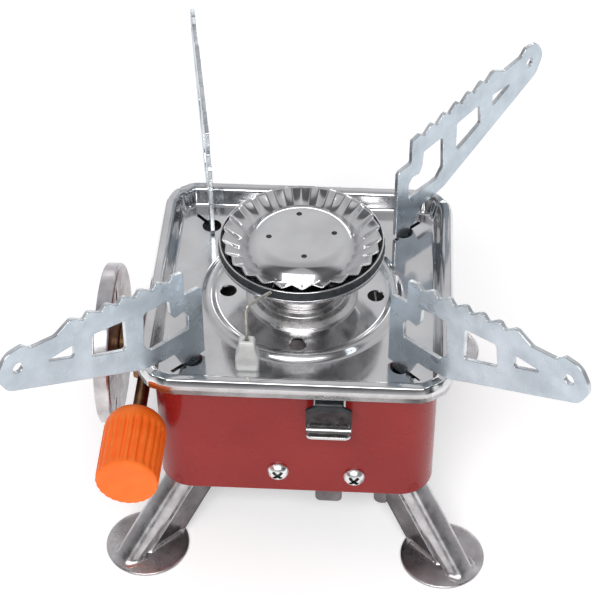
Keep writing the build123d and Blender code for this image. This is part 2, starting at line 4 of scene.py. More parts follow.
import bmesh
import bpy
from mathutils import Matrix, Vector, noise

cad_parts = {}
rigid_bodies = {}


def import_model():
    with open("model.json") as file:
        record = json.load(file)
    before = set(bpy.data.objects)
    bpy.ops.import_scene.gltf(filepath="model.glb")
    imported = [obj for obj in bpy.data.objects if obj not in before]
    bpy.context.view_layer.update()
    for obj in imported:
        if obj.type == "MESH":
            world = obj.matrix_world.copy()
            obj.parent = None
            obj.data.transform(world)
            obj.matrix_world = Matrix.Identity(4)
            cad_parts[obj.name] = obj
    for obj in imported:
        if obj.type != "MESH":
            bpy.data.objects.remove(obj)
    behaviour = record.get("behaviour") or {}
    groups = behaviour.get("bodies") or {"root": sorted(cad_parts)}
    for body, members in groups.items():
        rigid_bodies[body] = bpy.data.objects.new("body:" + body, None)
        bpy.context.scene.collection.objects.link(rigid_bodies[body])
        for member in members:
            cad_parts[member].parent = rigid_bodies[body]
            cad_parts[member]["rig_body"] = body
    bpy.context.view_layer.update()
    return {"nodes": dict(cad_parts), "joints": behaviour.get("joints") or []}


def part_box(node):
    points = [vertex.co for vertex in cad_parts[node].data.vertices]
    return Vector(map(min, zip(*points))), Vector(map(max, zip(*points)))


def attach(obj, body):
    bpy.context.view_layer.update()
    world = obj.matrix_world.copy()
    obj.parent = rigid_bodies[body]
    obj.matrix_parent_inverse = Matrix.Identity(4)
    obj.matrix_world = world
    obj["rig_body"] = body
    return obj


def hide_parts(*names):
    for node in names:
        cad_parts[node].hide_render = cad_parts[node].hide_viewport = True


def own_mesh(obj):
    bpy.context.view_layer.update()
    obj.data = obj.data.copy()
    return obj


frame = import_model()

# A folding gas camping stove. Shapes are worked out in millimetres and stored in metres.
MM = 0.001
CORNERS = {"front_left": 225, "front_right": 315, "rear_right": 45, "rear_left": 135}
ROOT = "stove_body"


# ---- sizes, from the frame ---------------------------------------------------------
def span(node):
    """A CAD node's lowest and highest corner in millimetres."""
    low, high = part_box(node)
    return low / MM, high / MM


def joint(name):
    return next(j for j in frame["joints"] if j["name"] == name)


RIM_RISE = 5.5                               # rolled rim above the tray's floor
TRAY_HALF = span("top_tray")[1].x
FLOOR_Z = span("top_tray")[1].z - RIM_RISE
RING_RADIUS = span("flame_ring")[1].x
RING_LOW = span("flame_ring")[0].z
RING_HIGH = span("flame_ring")[1].z
CAP_TOP = span("burner_cap")[1].z
FOOT_RADIUS = 12.0
TAU = 2 * pi


# ---- mesh tools --------------------------------------------------------------------
def mesh_piece(name, points, faces, smooth=40):
    """A mesh from points in millimetres, its normals outward and its sharp edges marked."""
    mesh = bpy.data.meshes.new(name)
    mesh.from_pydata([Vector(p) * MM for p in points], [], faces)
    piece = bpy.data.objects.new(name, mesh)
    bpy.context.scene.collection.objects.link(piece)
    clean(mesh)
    shade(mesh, smooth)
    return piece


def clean(mesh):
    """Weld what coincides and turn every face outward."""
    shape = bmesh.new()
    shape.from_mesh(mesh)
    bmesh.ops.remove_doubles(shape, verts=shape.verts, dist=1e-6)
    bmesh.ops.recalc_face_normals(shape, faces=shape.faces)
    shape.to_mesh(mesh)
    shape.free()


def shade(mesh, angle):
    mesh.polygons.foreach_set("use_smooth", [True] * len(mesh.polygons))
    mesh.set_sharp_from_angle(angle=radians(angle))


def grid(rows, wrap=True, close=False):
    """Points and quads between rows. wrap joins each row's ends, close joins the last row to the first."""
    wide = len(rows[0])
    points = [p for row in rows for p in row]
    faces = []
    for i in range(len(rows) if close else len(rows) - 1):
        for k in range(wide if wrap else wide - 1):
            a, b = i * wide, (i + 1) % len(rows) * wide
            n = (k + 1) % wide
            faces.append((a + k, a + n, b + n, b + k))
    return points, faces


def joined(*parts):
    """Several (points, faces) as one."""
    points, faces = [], []
    for more, sides in parts:
        start = len(points)
        points += more
        faces += [tuple(start + i for i in side) for side in sides]
    return points, faces


def soft_path(points, steps=5, closed=True):
    """A polyline from corners (x, y, radius), each corner rounded by an arc."""
    path = []
    last = len(points) - 1
    for i, (x, y, radius) in enumerate(points):
        here = Vector((x, y))
        if radius == 0 or (not closed and i in (0, last)):
            path.append(here)
            continue
        back = Vector(points[i - 1][:2]) - here
        on = Vector(points[(i + 1) % len(points)][:2]) - here
        half = back.angle(on) / 2
        reach = min(radius / tan(half), 0.49 * min(back.length, on.length))
        centre = here + (back.normalized() + on.normalized()).normalized() * (reach / cos(half))
        start = here + back.normalized() * reach - centre
        end = here + on.normalized() * reach - centre
        turn = atan2(start.x * end.y - start.y * end.x, start.dot(end))
        for k in range(steps + 1):
            path.append(centre + Matrix.Rotation(turn * k / steps, 2) @ start)
    return path


def lathe(profile, segments=144, close=True):
    """Points and faces of a (radius, height) profile turned about Z."""
    rows = []
    for k in range(segments):
        a = TAU * k / segments
        rows.append([(r * cos(a), r * sin(a), z) for r, z in profile])
    return grid(rows, wrap=close, close=True)


def smooth_step(value, low, high):
    t = min(1.0, max(0.0, (value - low) / (high - low)))
    return t * t * (3 - 2 * t)


def modifier(piece, kind, **settings):
    made = piece.modifiers.new(kind.lower(), kind)
    for name, value in settings.items():
        setattr(made, name, value)
    return made


def bevelled(piece, width, segments=2, angle=35):
    modifier(piece, "BEVEL", width=width * MM, segments=segments, limit_method="ANGLE",
             angle_limit=radians(angle), use_clamp_overlap=False, harden_normals=False)
    return piece


def sheet_metal(piece, thickness):
    modifier(piece, "SOLIDIFY", thickness=thickness * MM, offset=-1.0)
    return piece


def place(piece, body, slot, surface, *nodes):
    """Give a piece its material, tie it to its body and hide the CAD nodes that it stands for."""
    piece.data.materials.clear()
    for material in surface if isinstance(surface, (list, tuple)) else [surface]:
        piece.data.materials.append(material)
    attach(piece, body)
    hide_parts(*nodes)
    return piece


def paint(piece, choose):
    """Give each face the material whose number choose(face) returns."""
    for face in piece.data.polygons:
        face.material_index = int(choose(face))


def refined(node, width=0.15, segments=2):
    """A CAD node's shape with every edge broken by a small bevel."""
    mesh = frame["nodes"][node].data.copy()
    mesh.materials.clear()
    shape = bmesh.new()
    shape.from_mesh(mesh)
    bmesh.ops.remove_doubles(shape, verts=shape.verts, dist=2e-6)
    bmesh.ops.dissolve_limit(shape, angle_limit=radians(0.6), verts=shape.verts, edges=shape.edges)
    shape.to_mesh(mesh)
    shape.free()
    shade(mesh, 32)
    piece = bpy.data.objects.new(node + "_finished", mesh)
    bpy.context.scene.collection.objects.link(piece)
    if width:
        bevelled(piece, width, segments)
    return piece


# ---- materials ---------------------------------------------------------------------
class Surface:
    """A node material built up step by step around one Principled shader."""

    def __init__(self, name, **values):
        self.material = bpy.data.materials.new(name)
        self.material.use_nodes = True
        self.tree = self.material.node_tree
        self.shader = self.tree.nodes["Principled BSDF"]
        for key, value in values.items():
            self.shader.inputs[key.replace("_", " ")].default_value = value
        self.coords = self.tree.nodes.new("ShaderNodeTexCoord").outputs["Object"]

    def link(self, a, b):
        self.tree.links.new(a, b)

    def node(self, kind, **values):
        made = self.tree.nodes.new("ShaderNode" + kind)
        for key, value in values.items():
            if hasattr(made, key):
                setattr(made, key, value)
            else:
                made.inputs[key.replace("_", " ")].default_value = value
        return made

    def grain(self, size, stretch=(1, 1, 1), detail=3.0, rough=0.55):
        """Noise whose features are about size millimetres, longer where stretch is larger."""
        mapping = self.node("Mapping")
        mapping.inputs["Scale"].default_value = [1 / (size * MM * s) for s in stretch]
        self.link(self.coords, mapping.inputs["Vector"])
        texture = self.node("TexNoise", Scale=1.0, Detail=detail, Roughness=rough)
        self.link(mapping.outputs["Vector"], texture.inputs["Vector"])
        return texture.outputs["Fac"]

    def cells(self, size):
        """Flat-valued patches about size millimetres across."""
        mapping = self.node("Mapping")
        mapping.inputs["Scale"].default_value = [1 / (size * MM)] * 3
        self.link(self.coords, mapping.inputs["Vector"])
        texture = self.node("TexVoronoi", Scale=1.0)
        self.link(mapping.outputs["Vector"], texture.inputs["Vector"])
        split = self.node("SeparateColor")
        self.link(texture.outputs["Color"], split.inputs["Color"])
        return split.outputs["Red"]

    def spread(self, value, low, high, start=0.3, stop=0.7):
        """Map a texture's value from start..stop to low..high."""
        made = self.node("MapRange", From_Min=start, From_Max=stop, To_Min=low, To_Max=high)
        self.link(value, made.inputs["Value"])
        return made.outputs["Result"]

    def blend_colour(self, value, dark, light, start=0.3, stop=0.7):
        ramp = self.node("ValToRGB")
        ends = ramp.color_ramp.elements
        ends[0].position, ends[0].color = start, (*dark, 1)
        ends[1].position, ends[1].color = stop, (*light, 1)
        self.link(value, ramp.inputs["Fac"])
        return ramp.outputs["Color"]

    def colour(self, value, dark, light, start=0.3, stop=0.7):
        self.link(self.blend_colour(value, dark, light, start, stop), self.shader.inputs["Base Color"])
        return self

    def roughness(self, value, low, high, start=0.3, stop=0.7):
        self.link(self.spread(value, low, high, start, stop), self.shader.inputs["Roughness"])
        return self

    def bumps(self, *layers):
        """Relief from (texture value, height in millimetres) layers."""
        normal = None
        for value, height in layers:
            bump = self.node("Bump", Distance=height * MM, Strength=1.0)
            self.link(value, bump.inputs["Height"])
            if normal is not None:
                self.link(normal, bump.inputs["Normal"])
            normal = bump.outputs["Normal"]
        self.link(normal, self.shader.inputs["Normal"])
        return self


def polished_steel():
    s = Surface("polished_steel", Metallic=1.0)
    smudges = s.grain(14)
    s.colour(smudges, (0.60, 0.60, 0.61), (0.74, 0.74, 0.75))
    s.roughness(smudges, 0.07, 0.17)
    s.bumps((s.grain(18, detail=1.0), 0.05), (s.grain(0.35, (12, 1, 1)), 0.001))
    return s.material


def pressed_steel():
    """Bright steel that is duller than the tray, for the rim's skirt and the neck."""
    s = Surface("pressed_steel", Metallic=1.0)
    smudges = s.grain(5)
    s.colour(smudges, (0.50, 0.49, 0.49), (0.68, 0.67, 0.67))
    s.roughness(smudges, 0.20, 0.34)
    s.bumps((s.grain(6, detail=2.0), 0.08), (s.grain(0.4, (1, 1, 5)), 0.003))
    return s.material


def satin_steel(name="satin_steel", dark=(0.42, 0.40, 0.41), light=(0.70, 0.69, 0.70)):
    """Tumbled steel of the legs, brackets and the canister plate."""
    s = Surface(name, Metallic=1.0)
    patches = s.grain(7, detail=4.0)
    s.colour(patches, dark, light)
    s.roughness(s.grain(3), 0.22, 0.40)
    s.bumps((s.grain(6, detail=1.5), 0.04), (s.grain(0.3, (1, 4, 1)), 0.002))
    return s.material


def zinc(name, dark, light, low, high):
    s = Surface(name, Metallic=0.92)
    spangle = s.cells(2.6)
    cloud = s.grain(9)
    s.colour(cloud, dark, light)
    s.roughness(spangle, low, high, 0.0, 1.0)
    s.bumps((cloud, 0.02), (s.grain(0.6), 0.0015))
    return s.material


def red_paint():
    s = Surface("red_paint", Metallic=0.0, Specular_IOR_Level=0.22, Coat_Weight=0.16, Coat_Roughness=0.05)
    s.colour(s.grain(22), (0.245, 0.013, 0.012), (0.290, 0.018, 0.017))
    s.roughness(s.grain(8), 0.24, 0.34)
    s.bumps((s.grain(1.6, detail=1.0), 0.004), (s.grain(18, detail=1.0), 0.05))
    return s.material


def orange_plastic():
    s = Surface("orange_plastic", Specular_IOR_Level=0.28, Subsurface_Weight=0.12, Subsurface_Scale=0.002)
    s.shader.inputs["Subsurface Radius"].default_value = (1.0, 0.35, 0.1)
    s.colour(s.grain(6), (0.98, 0.155, 0.012), (1.0, 0.200, 0.022))
    s.roughness(s.grain(1.5), 0.42, 0.54)
    s.bumps((s.grain(0.35), 0.006))
    return s.material


def ring_black():
    """Steel blackened by heat on the flame ring; the same black is painted shade on the pilot holes, the
    lever's neck, the igniter bracket, the cap spider and the arms' pivots and bushes.
    """
    s = Surface("ring_black", Metallic=0.35)
    s.colour(s.grain(3, (1, 1, 0.4)), (0.010, 0.012, 0.014), (0.030, 0.034, 0.038))
    s.roughness(s.grain(2), 0.30, 0.50)
    s.bumps((s.grain(0.8), 0.01))
    return s.material


def brass(name="brass", dark=(0.28, 0.14, 0.06), light=(0.52, 0.32, 0.15)):
    s = Surface(name, Metallic=1.0)
    s.colour(s.grain(4), dark, light)
    s.roughness(s.grain(2), 0.25, 0.42)
    s.bumps((s.grain(0.3, (1, 6, 1)), 0.004))
    return s.material


def wire_metal():
    s = Surface("wire_metal", Metallic=1.0)
    s.colour(s.grain(2), (0.36, 0.34, 0.30), (0.58, 0.55, 0.50))
    s.roughness(s.grain(1), 0.28, 0.42)
    s.bumps((s.grain(0.3), 0.004))
    return s.material


def ceramic_white():
    s = Surface("ceramic_white", Coat_Weight=0.4, Coat_Roughness=0.12)
    s.colour(s.grain(3), (0.66, 0.66, 0.64), (0.76, 0.76, 0.75))
    s.roughness(s.grain(2), 0.30, 0.42)
    s.bumps((s.grain(0.7), 0.02))
    return s.material


def dark_plastic(name, dark, light, low, high):
    s = Surface(name)
    s.colour(s.grain(2), dark, light)
    s.roughness(s.grain(1.5), low, high)
    s.bumps((s.grain(0.4), 0.01))
    return s.material


def dark_chrome():
    """The lever's plated face, dulled to a dark mirror."""
    s = Surface("dark_chrome", Metallic=1.0)
    s.colour(s.grain(3), (0.026, 0.021, 0.022), (0.080, 0.072, 0.074))
    s.roughness(s.grain(2), 0.16, 0.30)
    s.bumps((s.grain(0.3, (1, 1, 6)), 0.002))
    return s.material


def bright_plate():
    """Nickel plate on the screws and the igniter's lever."""
    s = Surface("bright_plate", Metallic=1.0)
    s.colour(s.grain(3), (0.56, 0.56, 0.56), (0.72, 0.72, 0.71))
    s.roughness(s.grain(2), 0.10, 0.22)
    s.bumps((s.grain(4, detail=1.0), 0.03), (s.grain(0.3, (1, 1, 6)), 0.002))
    return s.material


# ---- tray --------------------------------------------------------------------------
RIM_CORNER = 10.5                            # radius of the tray's corners
CORNER_STEPS = 28
SIDE_STEPS = 36
RIM_PROFILE = [
    (0.0, 0.8, 0), (0.0, 3.7, 0.5), (0.8, 5.5, 0.7), (3.6, 5.5, 1.5), (5.0, 0.0, 1.5), (7.0, 0.0, 0),
]                                            # (inward, up, radius): skirt, slope, crest, inner slope, floor


def rim_stations():
    """Points round the tray's outer edge: (place, outward direction, how far into a corner from 0 to 1)."""
    flat = TRAY_HALF - RIM_CORNER
    stations = []
    for quarter in range(4):
        turn = Matrix.Rotation(quarter * pi / 2, 2)
        for k in range(SIDE_STEPS):
            y = -flat + 2 * flat * k / SIDE_STEPS
            stations.append((turn @ Vector((TRAY_HALF, y)), turn @ Vector((1, 0)), 0.0))
        for k in range(CORNER_STEPS):
            a = pi / 2 * k / CORNER_STEPS
            out = Vector((cos(a), sin(a)))
            stations.append((turn @ (Vector((flat, flat)) + out * RIM_CORNER), turn @ out, sin(2 * a)))
    return stations


def pleat(place, depth):
    """The small creases that the pressed corners show, at a place along the edge."""
    fold = noise.noise(Vector((place.x * 0.42, place.y * 0.42, depth * 0.16)))
    ripple = noise.noise(Vector((place.x * 0.95 + 7, place.y * 0.95, depth * 0.25)))
    turn = atan2(place.y, place.x)
    return fold * 0.75 + ripple * 0.35 + 0.45 * sin(52 * turn + 2 * fold)


def rim_rows():
    profile = soft_path(RIM_PROFILE, steps=6, closed=False)
    rows = []
    for where, out, corner in rim_stations():
        row = []
        for u, z in profile:
            crease = corner * pleat(where, u * 2 + z)
            dent = crease * (0.55 if 0.2 < u < 6.0 else 0.3 if u <= 0.2 else 0.0)
            wave = 0.35 * noise.noise(Vector((where.x * 0.09, where.y * 0.09, 3.0)))
            lift = max(0.0, wave) + 0.5 * corner * abs(crease) if z < 1.0 and u < 1.0 else 0.0
            spot = where - out * (u + max(dent, -0.1))
            row.append((spot.x, spot.y, FLOOR_Z + z + lift - (crease * 0.35 if 1 < u < 4.5 else 0)))
        rows.append(row)
    return rows


BEAD_RADIUS = 26.2
BEAD_WIDTH = 2.7
BEAD_RISE = 1.6
HOLE_CIRCLE = 20.85
AIR_HOLE = 2.4
COLLAR_BORE = 8.6
PIVOT_REACH = 28.15 * sqrt(2)
TRAY_SHEET = 0.6


def bead_rows():
    """The pressed ring round the burner."""
    profile = []
    for k in range(13):
        across = -BEAD_WIDTH + 2 * BEAD_WIDTH * k / 12
        profile.append((BEAD_RADIUS + across, FLOOR_Z + BEAD_RISE * cos(across / BEAD_WIDTH * pi / 2) ** 2))
    rows = []
    for k in range(160):
        a = TAU * k / 160
        rows.append([(r * cos(a), r * sin(a), z) for r, z in profile])
    return rows


def circle(x, y, radius, count=32):
    return [(x + radius * cos(TAU * k / count), y + radius * sin(TAU * k / count)) for k in range(count)]


def keyhole(angle):
    """The pivot hole and the slot that runs out from it along the diagonal."""
    reach, hole, slot, end = PIVOT_REACH, 2.8, 0.55, 7.2
    start = atan2(slot, sqrt(hole ** 2 - slot ** 2))
    points = []
    for k in range(25):
        a = start + (TAU - 2 * start) * k / 24
        points.append(Vector((reach + hole * cos(a), hole * sin(a))))
    points += [Vector((reach + end, -slot)), Vector((reach + end, slot))]
    turn = Matrix.Rotation(radians(angle), 2)
    return [tuple(turn @ p) for p in points]


def rectangle(x0, y0, x1, y1):
    return [(x0, y0), (x1, y0), (x1, y1), (x0, y1)]


def flat_fill(loops, z):
    """Points and faces of a flat sheet bounded by the first loop, with the others cut out."""
    shape = bmesh.new()
    edges = []
    for loop in loops:
        verts = [shape.verts.new((x, y, z)) for x, y in loop]
        for a, b in zip(verts, verts[1:] + verts[:1]):
            edges.append(shape.edges.new((a, b)))
    bmesh.ops.triangle_fill(shape, use_beauty=True, use_dissolve=False, edges=edges)
    shape.verts.index_update()
    points = [tuple(v.co) for v in shape.verts]
    faces = [tuple(v.index for v in face.verts) for face in shape.faces]
    shape.free()
    return points, faces


def electrode_foot(gap):
    low, high = span("electrode_insulator")
    x, y = (low.x + high.x) / 2, (low.y + high.y) / 2
    return rectangle(x - 2.2 - gap, y - 1.7 - gap, x + 2.2 + gap, y + 1.7 + gap)


def tray():
    rim = rim_rows()
    bead = bead_rows()
    edge = [row[-1][:2] for row in rim]
    outside = [edge, [row[-1][:2] for row in bead]] + [keyhole(a) for a in CORNERS.values()]
    outside.append(electrode_foot(0.3))
    inside = [[row[0][:2] for row in bead], circle(0, 0, COLLAR_BORE, 64)]
    for k in range(4):
        a = k * pi / 2
        inside.append(circle(HOLE_CIRCLE * cos(a), HOLE_CIRCLE * sin(a), AIR_HOLE, 40))
    parts = [grid(rim, wrap=False, close=True), grid(bead, wrap=False, close=True),
             flat_fill(outside, FLOOR_Z), flat_fill(inside, FLOOR_Z)]
    piece = mesh_piece("drip_tray", *joined(*parts), smooth=50)
    up_faces = sum(f.normal.z * f.area for f in piece.data.polygons)
    if up_faces < 0:
        piece.data.flip_normals()
    for face in piece.data.polygons:
        level = face.normal.z > 0.99999 and abs(face.center.z / MM - FLOOR_Z) < 0.01
        face.use_smooth = not level
    sheet_metal(piece, TRAY_SHEET)
    return piece


# ---- burner ------------------------------------------------------------------------
FLUTES = 25
CAP_DISC = 10.6                              # radii of the disc, of the valley and of the edge
CAP_VALLEY = 16.4
CAP_EDGE = 21.3
CAP_SHEET = 0.35
CAP_DISH = 0.12
SHOULDER_POWER = 2.3                         # higher keeps the disc flat for longer
FLUTE_OUT, FLUTE_DOWN = 0.44, 0.36
PILOT_REACH, PILOT_TURN = 9.0, 7.5


def cap_point(r, wave):
    """The pressed cap's surface: a faintly dished disc, a soft shoulder and an upturned fluted edge."""
    disc, valley, edge = CAP_TOP - 0.55, CAP_TOP - 4.0, CAP_TOP - 0.5
    fluted = max(0.0, (r - CAP_VALLEY) / (CAP_EDGE - CAP_VALLEY))
    if r <= CAP_DISC:
        z = disc - CAP_DISH * (1 - (r / CAP_DISC) ** 2)
    elif r <= CAP_VALLEY:
        z = disc + (valley - disc) * ((r - CAP_DISC) / (CAP_VALLEY - CAP_DISC)) ** SHOULDER_POWER
    else:
        z = valley + (edge - valley) * fluted
    depth = wave * min(1.0, 1.25 * fluted)
    return r + FLUTE_OUT * depth, z - FLUTE_DOWN * depth


def flute_wave(a):
    """One pleat after another, with flat flanks and tight folds, from about -1 to 1."""
    phase = (a * FLUTES / TAU) % 1
    triangle = 4 * abs(phase - 0.5) - 1
    return triangle * 1.1 - 0.1 * triangle ** 3


def burner_cap():
    count = FLUTES * 14
    radii = [0, 3, 6, 9, 10.3] + [CAP_DISC + (CAP_VALLEY - CAP_DISC) * k / 16 for k in range(17)]
    radii += [CAP_VALLEY + (CAP_EDGE - CAP_VALLEY) * k / 8 for k in range(1, 9)]
    rows = []
    for k in range(count):
        a = TAU * k / count
        irregular = 1 + 0.14 * noise.noise(Vector((cos(a) * 3, sin(a) * 3, 1.7)))
        row = []
        for r in radii:
            reach, z = cap_point(r, flute_wave(a) * irregular)
            row.append((reach * cos(a), reach * sin(a), z))
        rows.append(row)
    piece = mesh_piece("burner_cap_fluted", *grid(rows, wrap=False, close=True), smooth=60)
    if sum(f.normal.z * f.area for f in piece.data.polygons) < 0:
        piece.data.flip_normals()
    sheet_metal(piece, CAP_SHEET)
    return piece


def cap_holes():
    """Dark rimmed inlays that stand for the four pilot holes in the cap's disc; their black is painted shade.
    """
    parts = []
    for k in range(4):
        a = radians(PILOT_TURN + 90 * k)
        x, y = PILOT_REACH * cos(a), PILOT_REACH * sin(a)
        top = CAP_TOP - 0.53
        ring = [(0.85, top - 0.10), (0.74, top + 0.01), (0.68, top - 0.04), (0.66, top - 0.35)]
        points, faces = lathe(ring, 24, close=False)
        parts.append(([(px + x, py + y, pz) for px, py, pz in points], faces))
        disc = [(x + 0.68 * cos(TAU * k / 24), y + 0.68 * sin(TAU * k / 24), top - 0.02) for k in range(24)]
        parts.append((disc, [tuple(range(24))]))
    return joined(*parts)


CUP_SHEET = 0.5
CRIMPS = 66                                  # crimps round the flame band


def burner_cup():
    """The bowl that carries the ring: a foot tube, two flares and an upright lip, one sheet thick."""
    t = CUP_SHEET
    outer = [
        (10.9, 1.6, 0), (10.9, 8.0, 1.2), (16.0, 10.2, 1.4), (17.8, 13.6, 1.8),
        (RING_RADIUS + 0.1, 16.6, 1.1), (RING_RADIUS + 0.1, 17.8, 0),
        (RING_RADIUS - t, 17.8, 0), (RING_RADIUS - t, 16.9, 0.4),
        (17.4, 14.0, 1.4), (15.7, 10.7, 1.0), (10.9 - t, 8.5, 0.9), (10.9 - t, 1.6, 0),
    ]
    path = [(p.x, FLOOR_Z + p.y) for p in soft_path(outer, 6)]
    return mesh_piece("burner_bowl", *lathe(path, 160), smooth=45)


def burner_collar():
    """The rolled flange that the bowl's foot stands in."""
    outer = [
        (8.8, 0.02, 0), (15.8, 0.02, 0.1), (15.75, 0.7, 0.35), (14.2, 1.75, 1.2), (12.6, 1.9, 0.5),
        (11.9, 3.3, 0.3), (10.95, 3.3, 0.1), (10.95, 1.4, 0), (8.8, 1.4, 0),
    ]
    path = [(p.x, FLOOR_Z + p.y) for p in soft_path(outer, 6)]
    return mesh_piece("burner_foot_flange", *lathe(path, 160), smooth=45)


def flame_band():
    """The black corrugated strip, crimped all round for the flame to pass."""
    rows = []
    count = CRIMPS * 6
    for k in range(count):
        a = TAU * k / count
        crimp = 0.05 * cos(CRIMPS * a)
        r = RING_RADIUS + crimp
        section = [(r - 0.02, RING_LOW), (r - 0.10, RING_LOW + 1.2), (r - 0.42, RING_HIGH),
                   (r - 1.1, RING_HIGH), (r - 1.1, RING_LOW)]
        rows.append([(p * cos(a), p * sin(a), z) for p, z in section])
    return mesh_piece("flame_band", *grid(rows, wrap=True, close=True), smooth=35)


def thin_hoop(name, radius, z, wire):
    profile = [(radius + wire * cos(TAU * k / 12), z + wire * 0.8 * sin(TAU * k / 12)) for k in range(12)]
    return mesh_piece(name, *lathe(profile, 180), smooth=80)


def insulator():
    """The ceramic: a square foot, sloping shoulders and a slimmer neck with the wire's well in its top."""
    low, high = span("electrode_insulator")
    x, y = (low.x + high.x) / 2, (low.y + high.y) / 2
    wide, deep = (high.x - low.x) / 2, (high.y - low.y) / 2
    top = high.z
    sections = [
        (0.92, 0.92, FLOOR_Z + 0.01), (0.98, 0.98, FLOOR_Z + 0.25), (1.0, 1.0, FLOOR_Z + 0.8),
        (1.0, 1.0, FLOOR_Z + 4.4), (0.97, 0.98, FLOOR_Z + 4.9), (0.86, 0.90, FLOOR_Z + 5.7),
        (0.75, 0.82, FLOOR_Z + 6.7), (0.71, 0.78, FLOOR_Z + 7.6), (0.70, 0.76, top - 1.2),
        (0.66, 0.72, top - 0.45), (0.56, 0.60, top - 0.08), (0.45, 0.46, top), (0.28, 0.30, top - 0.05),
        (0.20, 0.24, top - 0.35), (0.16, 0.20, top - 1.1), (0.0, 0.0, top - 1.2),
    ]
    rows = []
    for across, along, z in sections:
        a, b = max(0.02, wide * across), max(0.02, deep * along)
        soft = 0.38 * min(a, b)
        ring = soft_path([(-a, -b, soft), (a, -b, soft), (a, b, soft), (-a, b, soft)], 6)
        rows.append([(x + p.x, y + p.y, z) for p in ring])
    return mesh_piece("electrode_ceramic", *grid(rows), smooth=55)


# ---- knob --------------------------------------------------------------------------
KNOB_FLUTES = 24


def control_knob():
    """A domed grip with rounded grooves between flat ribs, and a slightly dished end."""
    low, high = span("control_knob")
    radius = (high.x - low.x) / 2
    length = high.y - low.y
    cx, cz = (low.x + high.x) / 2, (low.z + high.z) / 2
    boss, start = 3.2, 5.8
    sections = [(0.0, 0.0), (boss / 2, 0.0)]
    for k in range(15):
        a = pi / 2 * k / 14
        sections.append((boss + (radius - boss) * sin(a), start * (1 - cos(a))))
    body_steps = 26
    for k in range(1, body_steps + 1):
        sections.append((radius - 0.15 * k / body_steps, start + (length - 0.7 - start) * k / body_steps))
    for k in range(1, 7):
        a = pi / 2 * k / 6
        sections.append((radius - 0.15 - 0.7 * (1 - cos(a)), length - 0.7 + 0.7 * sin(a)))
    for r in (6.0, 3.0, 0.0):
        sections.append((r, length - 0.25 * (1 - (r / 7.6) ** 2) if r < 7.6 else length))
    rows = []
    count = KNOB_FLUTES * 14
    for r, along in sections:
        row = []
        for k in range(count):
            a = TAU * k / count
            phase = abs((k / 14) % 1 - 0.5) * 2
            groove = 1 - smooth_step(phase, 0.30, 0.62)
            run = smooth_step(along, 6.4, 7.8) * (1 - 0.75 * smooth_step(along, length - 2.4, length - 1.2))
            depth = 0.62 * groove * run
            if r < radius * 0.8:
                depth = 0.0
            row.append((cx + (r - depth) * cos(a), high.y - along, cz + (r - depth) * sin(a)))
        rows.append(row)
    return mesh_piece("gas_knob_grip", *grid(rows, wrap=True, close=False), smooth=60)


# ---- igniter lever -----------------------------------------------------------------
LEVER_SHEET = 0.9
LIP_LENGTH = 3.1                             # how far the lip stands out from the face
LIP_BEND, NECK_BEND = 1.2, 1.3
SHOULDER_DROP = 2.4                          # from the neck's top to the broad face


def lever_half_width(along, shoulder):
    """Half the strip's width at a distance from its lip: a rounded lip, a broad face, a narrower neck."""
    broad, neck, corner = 6.15, 3.75, 1.7
    if along < corner:
        return broad - corner + sqrt(corner ** 2 - (corner - along) ** 2)
    return broad + (neck - broad) * min(1.0, max(0.0, (along - shoulder) / 1.5))


def lip_underside(front):
    """The height of the turned-out lip's underside, from the CAD points at its front."""
    points = [v.co / MM for v in frame["nodes"]["igniter_lever"].data.vertices]
    return min(p.z for p in points if p.y < front + 1)


def igniter_lever():
    """One bent strip: a tail up from the pin, a level neck through the slot, a face and a turned-out lip."""
    low, high = span("igniter_lever")
    pivot = joint("press_igniter")["pos_m"]
    middle = (low.x + high.x) / 2
    pin_y, pin_z = pivot[1] / MM, pivot[2] / MM
    top, face_y, lip_z = high.z, low.y + LIP_LENGTH, lip_underside(low.y) + LEVER_SHEET
    tail_y = pin_y + LEVER_SHEET / 2
    path = soft_path([(low.y + 0.1, lip_z + 0.35, 0), (face_y, lip_z, LIP_BEND), (face_y, top, NECK_BEND),
                      (tail_y, top, NECK_BEND), (tail_y, pin_z, 0)], 8, closed=False)
    dense = [path[0]]
    for a, b in zip(path, path[1:]):
        cuts = max(1, int((b - a).length / 0.35))
        dense += [a.lerp(b, k / cuts) for k in range(1, cuts + 1)]
    shoulder = (face_y - low.y) + (top - SHOULDER_DROP - lip_z) - 0.6
    rows, along = [], 0.0
    for k, spot in enumerate(dense):
        along += (spot - dense[k - 1]).length if k else 0.0
        half = lever_half_width(along, shoulder)
        rows.append([(middle + half * (i / 8 - 1), spot.x, spot.y) for i in range(17)])
    piece = mesh_piece("igniter_lever_plate", *grid(rows, wrap=False), smooth=60)
    if sum(-f.normal.y * f.area for f in piece.data.polygons) < 0:
        piece.data.flip_normals()
    sheet_metal(piece, LEVER_SHEET)
    bevelled(piece, 0.22, 3, 50)
    return piece


def lever_barrel():
    """The rolled end that turns on the pin."""
    low, high = span("igniter_lever")
    pivot = joint("press_igniter")["pos_m"]
    pin_y, pin_z = pivot[1] / MM, pivot[2] / MM
    half = (span("lever_pin")[1].x - span("lever_pin")[0].x) / 2 - 1.9
    profile = [(1.1, -half), (1.8, -half), (2.0, 0.2 - half), (2.0, half - 0.2), (1.8, half), (1.1, half)]
    points, faces = lathe(profile, 48)
    middle = (low.x + high.x) / 2
    turned = [(middle + z, pin_y + x, pin_z + y) for x, y, z in points]
    return mesh_piece("igniter_lever_barrel", turned, faces)


# ---- legs --------------------------------------------------------------------------
LEG_BACK_N = 49.9
LEG_EDGE_N = 36.1
FOOT_REACH = 59.9
FILLET = 1.2
LEG_SHEET = 0.8
LEG_GROOVE_N = LEG_BACK_N - 4.9              # where the channel's groove is deepest


